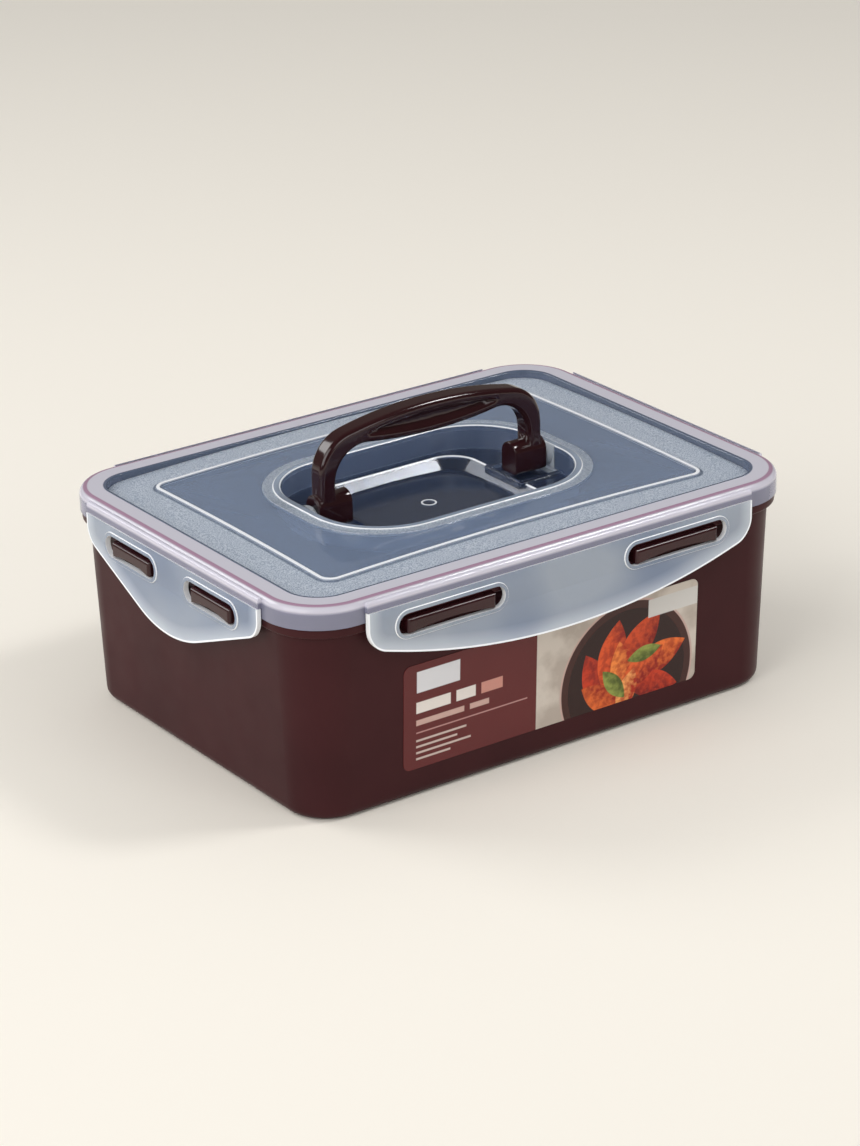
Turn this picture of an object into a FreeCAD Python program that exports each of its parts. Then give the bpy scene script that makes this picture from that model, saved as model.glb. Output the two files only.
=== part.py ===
import FreeCAD, Part
import math
import os

from FreeCAD import Rotation, Vector

# Kimchi container: a deep tub, a clear lid locked by four wings, and a folding carry handle.
# Millimetres, +Z up, origin at the middle of the tub's underside, label side towards -Y.
# An inset is the distance inwards from the lid's outer outline, as seen from above.

# Lid outline
lid_length = 224.0
lid_width = 165.0
lid_corner_radius = 23.0

# Lid rim: skirt, roof over the seal, and the plug wall that reaches down into the tub
skirt_thickness = 1.6
skirt_drop = 8.6
rim_edge_radius = 2.8
roof_thickness = 1.6
rim_width = 10.3
plug_thickness = 1.6
plug_drop = 12.0
step_edge_radius = 0.6

# Lid panel, gently domed, with one raised line
panel_thickness = 1.6
panel_crown_radius = 2200.0
panel_crown_rise = 0.4
line_end_setback = 27.2
line_side_setback = 24.6
line_corner_radius = 5.0
line_breadth = 1.8
line_height = 0.8

# Handle well in the middle of the lid
well_half_length = 54.4
well_half_width = 36.3
well_corner_radius = 27.0
well_wall = 1.8
well_lip_breadth = 3.2
well_lip_height = 0.6
well_lip_edge_radius = 0.5
well_mouth_radius = 0.9
well_depth = 9.3
collar_breadth = 3.8
collar_rise = 0.25
ledge_end_breadth = 17.9
ledge_side_breadth = 4.5
pocket_corner_radius = 11.5
pocket_wall_slope = 48.0
pocket_wall_breadth = 2.2
pocket_edge_radius = 0.5
pocket_depth = 2.6
pocket_crown_radius = 555.0
well_floor = 1.6
well_foot_radius = 1.2
gate_radius = 3.0
gate_breadth = 0.7
gate_height = 0.4

# Handle pivot, moulded into the end walls of the well
pivot_depth = 4.15
pin_radius = 3.2
pin_clearance = 0.08
pin_reach = 6.7
boss_radius = 4.1
boss_root_radius = 5.6
boss_thickness = 1.9
boss_top_drop = 0.25
pin_block_half_width = 7.0
pin_block_thickness = 1.6
pad_half_width = 9.6
pad_clearance = 0.3
pad_reach = 2.4
pad_ridge_breadth = 1.3
pad_bar_breadth = 2.6
pad_bar_height = 0.7
pad_bar_edge_radius = 0.4
pad_corner_radius = 1.8

# Handle
hub_half_width = 4.65
hub_corner_radius = 1.5
hub_rise = 7.85
hub_length = 14.7
hub_side_clearance = 0.6
hub_edge_radius = 0.5
arm_setback = 1.5
arm_width = 6.8
arm_half_depth = 3.9
grip_half_depth = 4.6
grip_height = 12.2
grip_top_radius = 179.0
grip_bottom_radius = 197.0
shoulder_radius = 16.0
inner_shoulder_radius = 13.0
fold_clearance = 1.8
grip_bar_height = 3.8
grip_rib_height = 4.6
grip_groove_depth = 1.5
handle_edge_radius = 2.0

# Tub
tub_height = 80.6
tub_wall = 2.0
tub_floor = 2.0
tub_draft = 2.3
rim_clearance = 1.5
tub_foot_radius = 4.0
tub_inside_radius = 3.5
foot_height = 0.8
foot_breadth = 9.0
tub_rim_radius = 0.6
flange_gap = 0.4
flange_height = 3.5
flange_setback = 0.7
flange_edge_radius = 1.2

# Seal
seal_height = 2.8
seal_side_gap = 0.4
seal_lip_thickness = 0.4
seal_groove_breadth = 1.2
seal_groove_depth = 1.2

# Hinge rails and wings
rail_reach = 1.7
rail_height = 4.0
rail_edge_radius = 1.3
hinge_drop = 4.8
hinge_gap = 0.2
wing_gap = 0.4
wing_thickness = 1.6
wing_flare = 6.0
wing_crease = 12.2
long_wing_end_setback = 26.0
long_wing_depth = 26.9
long_wing_shoulder = 13.6
long_wing_arc_share = 0.876
long_wing_corner_radius = 9.5
short_wing_end_setback = 25.1
short_wing_depth = 28.9
short_wing_shoulder = 10.3
short_wing_arc_share = 0.345
short_wing_corner_radius = 8.8

# Slots in the wings and the lugs on the tub that they catch under
slot_top = 3.6
slot_height = 8.3
slot_border_breadth = 1.5
slot_border_height = 0.5
slot_border_edge_radius = 0.4
long_slot_inner_end = 27.5
long_slot_margin = 12.5
short_slot_inner_end = 10.0
short_slot_margin = 13.8
lug_end_clearance = 4.0
lug_catch_clearance = 0.4
lug_top_clearance = 1.7
lug_nose_reach = 0.5
lug_arch_rise = 1.8
lug_slope = 0.9
lug_edge_radius = 1.3
lug_root_depth = 1.2

# Label on the front wall
label_end_setback = 45.4
label_centre_x = -0.9
label_bottom = 11.4
label_height = 41.2
label_corner_radius = 3.0
label_thickness = 0.2

# Sizes that follow from the ones above
rim_top = tub_height + seal_height + roof_thickness
skirt_bottom = rim_top - skirt_drop
tub_rim_inset = skirt_thickness + rim_clearance
panel_top = rim_top + panel_crown_rise
line_half_length = lid_length / 2.0 - line_end_setback
line_half_width = lid_width / 2.0 - line_side_setback
well_top = rim_top + well_lip_height
ledge_top = well_top - well_depth
pocket_half_length = well_half_length - ledge_end_breadth
pocket_half_width = well_half_width - ledge_side_breadth
pocket_floor_top = ledge_top - pocket_depth
collar_top = rim_top + collar_rise
pivot_z = well_top - pivot_depth
hub_corner_reach = (hub_half_width - hub_corner_radius) * math.sqrt(2.0) + hub_corner_radius
pad_top = pivot_z - hub_corner_reach - pad_clearance
pad_bar_top = ledge_top + pad_bar_height
hub_outer_x = well_half_length - boss_thickness - hub_side_clearance
grip_top_z = pivot_z + well_half_width - fold_clearance
hinge_z = rim_top - hinge_drop
long_wing_half_width = lid_length / 2.0 - long_wing_end_setback
short_wing_half_width = lid_width / 2.0 - short_wing_end_setback
long_slot_centre = (long_wing_half_width - long_slot_margin + long_slot_inner_end) / 2.0
long_slot_length = long_wing_half_width - long_slot_margin - long_slot_inner_end
short_slot_centre = (short_wing_half_width - short_slot_margin + short_slot_inner_end) / 2.0
short_slot_length = short_wing_half_width - short_slot_margin - short_slot_inner_end
flange_top = skirt_bottom - flange_gap
label_half_length = lid_length / 2.0 - label_end_setback
slot_middle_z = hinge_z - slot_top - slot_height / 2.0
inside_floor = foot_height + tub_floor
beyond = 5.0


def rounded_wire(half_length, half_width, radius, z):
    # Rounded rectangle centred on the Z axis, as one closed wire.
    edges = []
    corners = [(1, 1, 0), (-1, 1, 90), (-1, -1, 180), (1, -1, 270)]
    ends = []
    for sign_x, sign_y, start in corners:
        centre = Vector(sign_x * (half_length - radius), sign_y * (half_width - radius), z)
        arc = Part.makeCircle(radius, centre, Vector(0, 0, 1), start, start + 90)
        edges.append(arc)
        ends.append((arc.Vertexes[0].Point, arc.Vertexes[-1].Point))
    for index in range(4):
        edges.append(Part.makeLine(ends[index][1], ends[(index + 1) % 4][0]))
    return Part.Wire(Part.__sortEdges__(edges))


def rounded_prism(half_length, half_width, radius, bottom, top):
    wire = rounded_wire(half_length, half_width, radius, bottom)
    return Part.Face(wire).extrude(Vector(0, 0, top - bottom))


def lid_prism(inset, bottom, top):
    return rounded_prism(lid_length / 2.0 - inset, lid_width / 2.0 - inset,
                         lid_corner_radius - inset, bottom, top)


def lid_ring(outer_inset, inner_inset, bottom, top):
    outer = lid_prism(outer_inset, bottom, top)
    return outer.cut(lid_prism(inner_inset, bottom - beyond, top + beyond))


def well_prism(offset, bottom, top):
    return rounded_prism(well_half_length + offset, well_half_width + offset,
                         well_corner_radius + offset, bottom, top)


def pocket_bowl(offset):
    # The pocket's walls slope in below the ledge.
    low = pocket_floor_top - beyond
    wires = []
    for z in (low, ledge_top):
        grow = offset - (ledge_top - z) * math.tan(math.radians(pocket_wall_slope))
        wires.append(rounded_wire(pocket_half_length + grow, pocket_half_width + grow,
                                  pocket_corner_radius + grow, z))
    return Part.makeLoft(wires, True, True)


def box(low, high):
    size = high - low
    return Part.makeBox(size.x, size.y, size.z, low)


def level_edges(shape, z):
    return [edge for edge in shape.Edges
            if abs(edge.BoundBox.ZMin - z) < 0.01 and abs(edge.BoundBox.ZMax - z) < 0.01]


def edges_along(shape, axis, test):
    # Straight edges parallel to an axis whose middle passes the test.
    chosen = []
    for edge in shape.Edges:
        if edge.Curve.TypeId != "Part::GeomLine":
            continue
        if abs(abs(edge.tangentAt(edge.FirstParameter).dot(axis)) - 1.0) > 1e-6:
            continue
        if test(edge.CenterOfMass):
            chosen.append(edge)
    return chosen


def turned(shape, angle):
    result = shape.copy()
    result.rotate(Vector(0, 0, 0), Vector(0, 0, 1), angle)
    return result


def mirrored_x(shape):
    return shape.mirror(Vector(0, 0, 0), Vector(1, 0, 0))


def wall_inset(z):
    # The tub's outer wall leans in towards its foot by the moulding draft.
    return tub_rim_inset + (tub_height - z) * math.tan(math.radians(tub_draft))


def tub_form(offset, bottom, top):
    wires = []
    for z in (bottom, top):
        inset = wall_inset(z) + offset
        wires.append(rounded_wire(lid_length / 2.0 - inset, lid_width / 2.0 - inset,
                                  lid_corner_radius - inset, z))
    return Part.makeLoft(wires, True, True)


def tub_shell():
    outside = tub_form(0.0, 0.0, tub_height)
    outside = outside.makeFillet(tub_foot_radius, level_edges(outside, 0.0))
    inside = tub_form(tub_wall, inside_floor, tub_height)
    inside = inside.makeFillet(tub_inside_radius, level_edges(inside, inside_floor))
    shell = outside.cut(inside)
    shell = shell.makeFillet(tub_rim_radius, level_edges(shell, tub_height))
    recess = lid_prism(wall_inset(0.0) + foot_breadth, -beyond, foot_height)
    return shell.cut(recess)


def tub_flange():
    outer = lid_prism(flange_setback, flange_top - flange_height, flange_top)
    outer = outer.makeFillet(flange_edge_radius, level_edges(outer, flange_top - flange_height))
    inner_inset = wall_inset(flange_top) + tub_wall / 2.0
    return outer.cut(lid_prism(inner_inset, flange_top - flange_height - beyond, flange_top + beyond))


def lug(half_span, centre, slot_length):
    # Catch bar on the front side of a tub whose lid reaches half_span from the middle.
    half_length = slot_length / 2.0 - lug_end_clearance
    top = slot_middle_z + slot_height / 2.0 - lug_top_clearance
    bottom = slot_middle_z - slot_height / 2.0 + lug_catch_clearance
    nose = -half_span - wing_gap - wing_thickness - lug_nose_reach
    root = -half_span + wall_inset(bottom) + lug_root_depth
    section = [Vector(centre - half_length, root, top), Vector(centre - half_length, nose, top - lug_slope),
               Vector(centre - half_length, nose, bottom), Vector(centre - half_length, root, bottom)]
    bar = Part.Face(Part.makePolygon(section + section[:1])).extrude(Vector(2.0 * half_length, 0, 0))
    nose_edges = [edge for edge in bar.Edges if abs(edge.CenterOfMass.y - nose) < 0.01
                  and edge.CenterOfMass.z > bottom + 0.01]
    bar = bar.makeFillet(lug_edge_radius, nose_edges)
    arch_radius = (half_length ** 2 + lug_arch_rise ** 2) / (2.0 * lug_arch_rise)
    arch = Part.makeCylinder(arch_radius, lid_width, Vector(centre, -half_span - beyond,
                             bottom + lug_arch_rise - arch_radius), Vector(0, 1, 0))
    catch = -half_span + wall_inset(bottom)
    arch = arch.common(box(Vector(centre - half_length, -half_span - beyond, bottom - beyond),
                           Vector(centre + half_length, catch, top)))
    return bar.cut(arch)


def tub():
    body = tub_shell().fuse(tub_flange())
    lugs = []
    for turn in (0, 180):
        for side in (-1, 1):
            lugs.append(turned(lug(lid_width / 2.0, side * long_slot_centre, long_slot_length), turn))
            lugs.append(turned(lug(lid_length / 2.0, side * short_slot_centre, short_slot_length), turn + 90))
    return body.fuse(lugs).removeSplitter()


def rim():
    outer = lid_prism(0.0, skirt_bottom, rim_top)
    outer = outer.makeFillet(rim_edge_radius, level_edges(outer, rim_top))
    outer = outer.cut(lid_prism(rim_width, skirt_bottom - beyond, rim_top + beyond))
    outer = outer.makeFillet(step_edge_radius, level_edges(outer, rim_top))
    channel = lid_ring(skirt_thickness, rim_width - plug_thickness, skirt_bottom - beyond,
                       rim_top - roof_thickness)
    plug = lid_ring(rim_width - plug_thickness, rim_width, rim_top - plug_drop, rim_top - roof_thickness)
    return outer.cut(channel).fuse(plug)


def dome(offset):
    # Ball whose top lies at the given height above the middle of the lid's panel.
    return Part.makeSphere(panel_crown_radius + offset, Vector(0, 0, panel_top - panel_crown_radius))


def pocket_dome(offset):
    # Ball whose top lies at the given height above the middle of the pocket's floor.
    return Part.makeSphere(pocket_crown_radius + offset, Vector(0, 0, pocket_floor_top - pocket_crown_radius))


def panel():
    # Domed sheet with its raised line, open where the well's lip goes in.
    low = rim_top - plug_drop
    high = rim_top + beyond
    sheet = lid_prism(rim_width - plug_thickness / 2.0, low, high).common(dome(0.0))
    line = rounded_prism(line_half_length + line_breadth / 2.0, line_half_width + line_breadth / 2.0,
                         line_corner_radius + line_breadth / 2.0, low, high)
    line = line.cut(rounded_prism(line_half_length - line_breadth / 2.0, line_half_width - line_breadth / 2.0,
                                  line_corner_radius - line_breadth / 2.0, low - beyond, high + beyond))
    line = line.common(dome(line_height))
    sheet = sheet.fuse(line).cut(dome(-panel_thickness))
    return sheet.cut(well_prism(well_lip_breadth / 2.0, low, high))


def well_lip():
    ring = well_prism(well_lip_breadth, panel_top - panel_thickness, well_top)
    ring = ring.makeFillet(well_lip_edge_radius, level_edges(ring, well_top))
    ring = ring.cut(well_prism(0.0, ledge_top, well_top + beyond))
    mouth = [edge for edge in level_edges(ring, well_top)
             if edge.BoundBox.XMax < well_half_length + 0.01 and edge.BoundBox.XMin > -well_half_length - 0.01
             and edge.BoundBox.YMax < well_half_width + 0.01 and edge.BoundBox.YMin > -well_half_width - 0.01]
    return ring.makeFillet(well_mouth_radius, mouth)


def pad(side):
    # Block in the end of the pocket with raised bars around the place where a hub swings.
    inner_x = pocket_half_length - pad_reach
    wall_x = well_half_length + well_wall / 2.0
    half_width = pad_half_width + pad_bar_breadth
    block = box(Vector(inner_x, -half_width, pad_top - well_floor), Vector(wall_x, half_width, pad_bar_top))
    block = block.makeFillet(pad_corner_radius, edges_along(block, Vector(0, 0, 1),
                                                            lambda point: point.x < inner_x + 0.01))
    block = block.makeFillet(pad_bar_edge_radius, [edge for edge in level_edges(block, pad_bar_top)
                                                   if edge.CenterOfMass.x < wall_x - 0.01])
    block = block.cut(pad_space(1))
    return block if side > 0 else mirrored_x(block)


def pad_space(side):
    low = Vector(pocket_half_length - pad_reach + pad_ridge_breadth, -pad_half_width, pad_top)
    space = box(low, Vector(well_half_length + well_wall, pad_half_width, well_top))
    return space if side > 0 else mirrored_x(space)


def well():
    collar = well_prism(well_lip_breadth + collar_breadth, panel_top - panel_thickness, collar_top)
    collar = collar.cut(well_prism(well_lip_breadth / 2.0, ledge_top, well_top))
    outside = well_prism(well_wall, ledge_top - well_floor, well_top - well_mouth_radius)
    outside = outside.makeFillet(well_foot_radius, level_edges(outside, ledge_top - well_floor))
    cup = pocket_bowl(pocket_wall_breadth).cut(pocket_dome(-well_floor))
    solid = outside.fuse([collar, cup]).cut(well_prism(0.0, ledge_top, well_top + beyond))
    solid = solid.cut(pocket_bowl(0.0).cut(pocket_dome(0.0)))
    pocket_edges = [edge for edge in level_edges(solid, ledge_top)
                    if abs(edge.CenterOfMass.x) < pocket_half_length + 0.01
                    and abs(edge.CenterOfMass.y) < pocket_half_width + 0.01]
    solid = solid.makeFillet(pocket_edge_radius, pocket_edges)
    inside = well_prism(0.0, pad_top, well_top)
    solid = solid.cut([pad_space(side).common(inside) for side in (-1, 1)])
    return solid.fuse([well_lip()] + [pad(side) for side in (-1, 1)])


def gate_mark():
    # Ring on the middle of the pocket's floor, sunk a little into it.
    base = Vector(0, 0, pocket_floor_top - gate_height)
    outer = Part.makeCylinder(gate_radius, 2.0 * gate_height, base)
    return outer.cut(Part.makeCylinder(gate_radius - gate_breadth, 2.0 * gate_height, base))


def pivot(side):
    # Pin, its boss on the well's end wall, and the thickened wall behind them.
    along = Vector(side, 0, 0)
    wall_x = well_half_length + well_wall / 2.0
    base = Vector(side * wall_x, 0, pivot_z)
    pin = Part.makeCylinder(pin_radius, wall_x - hub_outer_x + pin_reach, base, along * -1.0)
    boss = Part.makeCone(boss_root_radius, boss_radius, wall_x - well_half_length + boss_thickness,
                         base, along * -1.0)
    below = box(Vector(-lid_length, -lid_width, 0), Vector(lid_length, lid_width, well_top - boss_top_drop))
    boss = boss.common(below)
    ends = sorted((side * wall_x, side * (well_half_length + well_wall + pin_block_thickness)))
    block = box(Vector(ends[0], -pin_block_half_width, ledge_top - well_floor),
                Vector(ends[1], pin_block_half_width, panel_top - panel_thickness))
    return pin.fuse([boss, block])


def rail(half_span, half_width):
    low = Vector(-half_width, -half_span - rail_reach, hinge_z + hinge_gap)
    high = Vector(half_width, -half_span + skirt_thickness / 2.0, hinge_z + hinge_gap + rail_height)
    bar = box(low, high)
    outer = edges_along(bar, Vector(1, 0, 0), lambda point: abs(point.y - low.y) < 0.01 and point.z > low.z)
    return bar.makeFillet(rail_edge_radius, outer)


def lid():
    pieces = [panel(), well(), gate_mark()]
    pieces += [pivot(side) for side in (-1, 1)]
    for turn in (0, 180):
        pieces.append(turned(rail(lid_width / 2.0, long_wing_half_width), turn))
        pieces.append(turned(rail(lid_length / 2.0, short_wing_half_width), turn + 90))
    return rim().fuse(pieces).removeSplitter()


def seal():
    top = rim_top - roof_thickness
    inner_inset = rim_width - plug_thickness
    ring = lid_ring(skirt_thickness + seal_side_gap, inner_inset, top - seal_height, top)
    lip_inset = inner_inset - seal_lip_thickness
    groove = lid_ring(lip_inset - seal_groove_breadth, lip_inset,
                      top - seal_height - beyond, top - seal_height + seal_groove_depth)
    return ring.cut(groove)


def slope_angle(half_width, drop, arc_share):
    # Angle of the slopes for which slopes and bottom arc together come down by the drop.
    low, high = 0.0, math.pi / 2.0
    for _ in range(60):
        middle = (low + high) / 2.0
        share_drop = arc_share * math.tan(middle / 2.0) + (1.0 - arc_share) * math.tan(middle)
        if half_width * share_drop < drop:
            low = middle
        else:
            high = middle
    return low


def wing_outline(half_width, depth, shoulder, arc_share, corner_radius, back, front):
    # Side lines, rounded corners, short slopes and one bottom arc that the slopes touch.
    corner_z = hinge_z - shoulder
    angle = slope_angle(half_width, depth - shoulder, arc_share)
    touch_x = arc_share * half_width
    touch_z = corner_z - (half_width - touch_x) * math.tan(angle)
    arc = Part.Arc(Vector(touch_x, back, touch_z), Vector(0, back, hinge_z - depth),
                   Vector(-touch_x, back, touch_z)).toShape()
    points = [Vector(-touch_x, back, touch_z), Vector(-half_width, back, corner_z),
              Vector(-half_width, back, hinge_z), Vector(half_width, back, hinge_z),
              Vector(half_width, back, corner_z), Vector(touch_x, back, touch_z)]
    lines = [Part.makeLine(start, end) for start, end in zip(points, points[1:])]
    plate = Part.Face(Part.Wire(lines + [arc])).extrude(Vector(0, front - back, 0))
    corners = edges_along(plate, Vector(0, 1, 0), lambda point: abs(point.z - corner_z) < 0.01)
    return plate.makeFillet(corner_radius, corners)


def slot_prism(offset, centre, slot_length, back, front):
    radius = slot_height / 2.0 + offset
    straight = (slot_length - slot_height) / 2.0
    low = Vector(centre - straight, back, slot_middle_z - radius)
    bar = box(low, Vector(centre + straight, front, slot_middle_z + radius))
    ends = [Part.makeCylinder(radius, front - back, Vector(centre + side * straight, back, slot_middle_z),
                              Vector(0, 1, 0)) for side in (-1, 1)]
    return bar.fuse(ends).removeSplitter()


def wing(half_span, half_width, depth, shoulder, arc_share, corner_radius, slot_centre, slot_length):
    inner = -half_span - wing_gap
    outer = inner - wing_thickness
    crease_z = hinge_z - wing_crease
    bottom = hinge_z - depth - beyond
    lean = (crease_z - bottom) * math.tan(math.radians(wing_flare))
    section = [Vector(-half_width, inner, hinge_z), Vector(-half_width, inner, crease_z),
               Vector(-half_width, inner - lean, bottom), Vector(-half_width, outer - lean, bottom),
               Vector(-half_width, outer, crease_z), Vector(-half_width, outer, hinge_z)]
    plate = Part.Face(Part.makePolygon(section + section[:1])).extrude(Vector(2.0 * half_width, 0, 0))
    plate = plate.common(wing_outline(half_width, depth, shoulder, arc_share, corner_radius,
                                      inner + beyond, outer - lean - beyond))
    for side in (-1, 1):
        border = slot_prism(slot_border_breadth, side * slot_centre, slot_length,
                            outer - slot_border_height, inner)
        border = border.makeFillet(slot_border_edge_radius, [
            edge for edge in border.Edges if abs(edge.BoundBox.YMax - outer + slot_border_height) < 0.01])
        plate = plate.fuse(border)
    for side in (-1, 1):
        plate = plate.cut(slot_prism(0.0, side * slot_centre, slot_length, outer - beyond, inner + beyond))
    return plate.removeSplitter()


def long_wing():
    return wing(lid_width / 2.0, long_wing_half_width, long_wing_depth, long_wing_shoulder,
                long_wing_arc_share, long_wing_corner_radius, long_slot_centre, long_slot_length)


def short_wing():
    return wing(lid_length / 2.0, short_wing_half_width, short_wing_depth, short_wing_shoulder,
                short_wing_arc_share, short_wing_corner_radius, short_slot_centre, short_slot_length)


def hub():
    # Rounded top and flat bottom: the flat sides face the pad when the handle stands or lies.
    low_z = pivot_z - hub_half_width
    round_z = pivot_z + hub_rise - hub_half_width
    start = hub_outer_x - hub_length
    points = [Vector(start, hub_half_width, round_z), Vector(start, hub_half_width, low_z),
              Vector(start, -hub_half_width, low_z), Vector(start, -hub_half_width, round_z)]
    lines = [Part.makeLine(begin, end) for begin, end in zip(points, points[1:])]
    crown = Part.Arc(points[3], Vector(start, 0, round_z + hub_half_width), points[0]).toShape()
    block = Part.Face(Part.Wire(lines + [crown])).extrude(Vector(hub_length, 0, 0))
    feet = edges_along(block, Vector(1, 0, 0), lambda point: abs(point.z - low_z) < 0.01)
    block = block.makeFillet(hub_corner_radius, feet)
    rims = [edge for edge in block.Edges if edge.BoundBox.XLength < 0.01]
    return block.makeFillet(hub_edge_radius, rims)


def handle_bow():
    # The bow seen from the front: arms, shoulders, an arched top and a bulging underside.
    outer_x = hub_outer_x - arm_setback
    inner_x = outer_x - arm_width
    foot_z = pivot_z + hub_rise - hub_half_width
    top_centre = Vector(0, 0, grip_top_z - grip_top_radius)
    shoulder_x = outer_x - shoulder_radius
    shoulder_z = top_centre.z + math.sqrt((grip_top_radius - shoulder_radius) ** 2 - shoulder_x ** 2)
    shoulder = Vector(shoulder_x, 0, shoulder_z)
    away = (shoulder - top_centre).normalize()
    top_touch = top_centre + away * grip_top_radius
    outer_middle = shoulder + (away + Vector(1, 0, 0)).normalize() * shoulder_radius
    low_centre = Vector(0, 0, grip_top_z - grip_height + grip_bottom_radius)
    bend_x = inner_x - inner_shoulder_radius
    bend_z = low_centre.z - math.sqrt((grip_bottom_radius + inner_shoulder_radius) ** 2 - bend_x ** 2)
    bend = Vector(bend_x, 0, bend_z)
    towards = (low_centre - bend).normalize()
    low_touch = bend + towards * inner_shoulder_radius
    inner_middle = bend + (towards + Vector(1, 0, 0)).normalize() * inner_shoulder_radius

    def flip(point):
        return Vector(-point.x, point.y, point.z)

    outer_line = [Vector(outer_x, 0, foot_z), Vector(outer_x, 0, shoulder_z)]
    inner_line = [Vector(inner_x, 0, bend_z), Vector(inner_x, 0, foot_z)]
    edges = []
    for place in (lambda point: point, flip):
        edges.append(Part.makeLine(place(outer_line[0]), place(outer_line[1])))
        edges.append(Part.Arc(place(outer_line[1]), place(outer_middle), place(top_touch)).toShape())
        edges.append(Part.Arc(place(low_touch), place(inner_middle), place(inner_line[0])).toShape())
        edges.append(Part.makeLine(place(inner_line[0]), place(inner_line[1])))
        edges.append(Part.makeLine(place(inner_line[1]), place(outer_line[0])))
    edges.append(Part.Arc(top_touch, Vector(0, 0, grip_top_z), flip(top_touch)).toShape())
    edges.append(Part.Arc(low_touch, Vector(0, 0, grip_top_z - grip_height), flip(low_touch)).toShape())
    face = Part.Face(Part.Wire(Part.__sortEdges__(edges)))
    slab = face.extrude(Vector(0, 2.0 * grip_half_depth + beyond, 0))
    slab.translate(Vector(0, -grip_half_depth - beyond / 2.0, 0))
    return slab


def barrel_plan():
    # Seen from above the bow is deepest at the grip and slimmer at the arms.
    half_length = hub_outer_x
    points = [Vector(-half_length, arm_half_depth, 0), Vector(0, grip_half_depth, 0),
              Vector(half_length, arm_half_depth, 0)]
    back = Part.Arc(*points).toShape()
    front = Part.Arc(*[Vector(point.x, -point.y, 0) for point in points]).toShape()
    ends = [Part.makeLine(Vector(x, -arm_half_depth, 0), Vector(x, arm_half_depth, 0))
            for x in (-half_length, half_length)]
    face = Part.Face(Part.Wire(Part.__sortEdges__([back, front] + ends)))
    return face.extrude(Vector(0, 0, grip_top_z + beyond))


def grip_groove():
    # Lens between the grip's top bar and the sloping top of its lower rib, cut into both sides.
    top = Part.makeCylinder(grip_top_radius - grip_bar_height, 2.0 * beyond,
                            Vector(0, 0, grip_top_z - grip_top_radius), Vector(0, 1, 0))
    rib_radius = grip_bottom_radius - grip_rib_height
    low = Part.makeCone(rib_radius, rib_radius + 2.0 * beyond, 2.0 * beyond,
                        Vector(0, 0, grip_top_z - grip_height + grip_bottom_radius), Vector(0, 1, 0))
    lens = top.common(low)
    lens.translate(Vector(0, grip_half_depth - grip_groove_depth, 0))
    return [lens, lens.mirror(Vector(0, 0, 0), Vector(0, 1, 0))]


def handle():
    bow = handle_bow().common(barrel_plan())
    long_edges = [edge for edge in bow.Edges if edge.BoundBox.YLength < 2.0
                  and edge.BoundBox.ZMax > pivot_z + hub_rise]
    bow = bow.makeFillet(handle_edge_radius, long_edges)
    bow = bow.cut(grip_groove())
    right = hub()
    body = bow.fuse([right, mirrored_x(right)])
    for side in (-1, 1):
        body = body.cut(Part.makeCylinder(pin_radius + pin_clearance, pin_reach + pin_clearance,
                                          Vector(side * (hub_outer_x - pin_reach - pin_clearance), 0, pivot_z),
                                          Vector(side, 0, 0)))
    return body.removeSplitter()


def label():
    half_depth = lid_width / 2.0
    outline = rounded_prism(label_half_length, label_height / 2.0, label_corner_radius, 0.0, half_depth)
    outline.Placement = FreeCAD.Placement(
        Vector(label_centre_x, 0, label_bottom + label_height / 2.0), Rotation(Vector(1, 0, 0), 90))
    skin = tub_form(-label_thickness, 0.0, tub_height).cut(tub_form(0.0, 0.0, tub_height))
    return skin.common(outline)


def export(name, shape):
    shape.exportStep("parts/" + name + ".step")
    print(name, "solids", len(shape.Solids), "volume", round(shape.Volume, 1), "valid", shape.isValid())


os.makedirs("parts", exist_ok=True)
export("tub", tub())
export("lid", lid())
export("gasket", seal())
export("front_wing", long_wing())
export("back_wing", turned(long_wing(), 180))
export("left_wing", turned(short_wing(), -90))
export("right_wing", turned(short_wing(), 90))
export("handle", handle())
export("front_label", label())
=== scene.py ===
import math

import bmesh
import bpy
import numpy as np
from mathutils import Matrix, Vector


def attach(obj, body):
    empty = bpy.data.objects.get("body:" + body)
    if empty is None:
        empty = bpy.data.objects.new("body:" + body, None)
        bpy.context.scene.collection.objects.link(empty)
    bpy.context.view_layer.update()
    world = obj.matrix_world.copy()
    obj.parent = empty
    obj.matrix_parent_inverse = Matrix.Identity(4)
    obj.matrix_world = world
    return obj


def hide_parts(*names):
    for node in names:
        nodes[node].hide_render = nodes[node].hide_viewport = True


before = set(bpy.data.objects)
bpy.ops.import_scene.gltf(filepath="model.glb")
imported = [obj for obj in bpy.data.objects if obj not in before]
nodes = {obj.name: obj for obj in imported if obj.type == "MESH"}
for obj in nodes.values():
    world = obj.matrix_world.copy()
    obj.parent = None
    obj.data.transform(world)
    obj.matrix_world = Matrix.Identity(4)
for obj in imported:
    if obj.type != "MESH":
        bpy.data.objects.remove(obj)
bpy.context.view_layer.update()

# Kimchi container, dressed around its solids. Metres, +Z up, label side towards -Y.
# The dictionaries of sizes hold millimetres, as the solids' source does.

mm = 0.001
print("frame loaded", sorted(nodes))


# Camera, floor and light

viewSettings = {
    "azimuth": -35.173,  # degrees, turned from the label side
    "elevation": 22.869,
    "roll": -1.121,
    "distance": 1.385826,
    "target": (0.00043, 0.00082, 0.045),
    "lens": 115.45,
    "sensor": 36.0,  # the photo's long side
    "clip": (0.05, 50.0),
}

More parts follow.
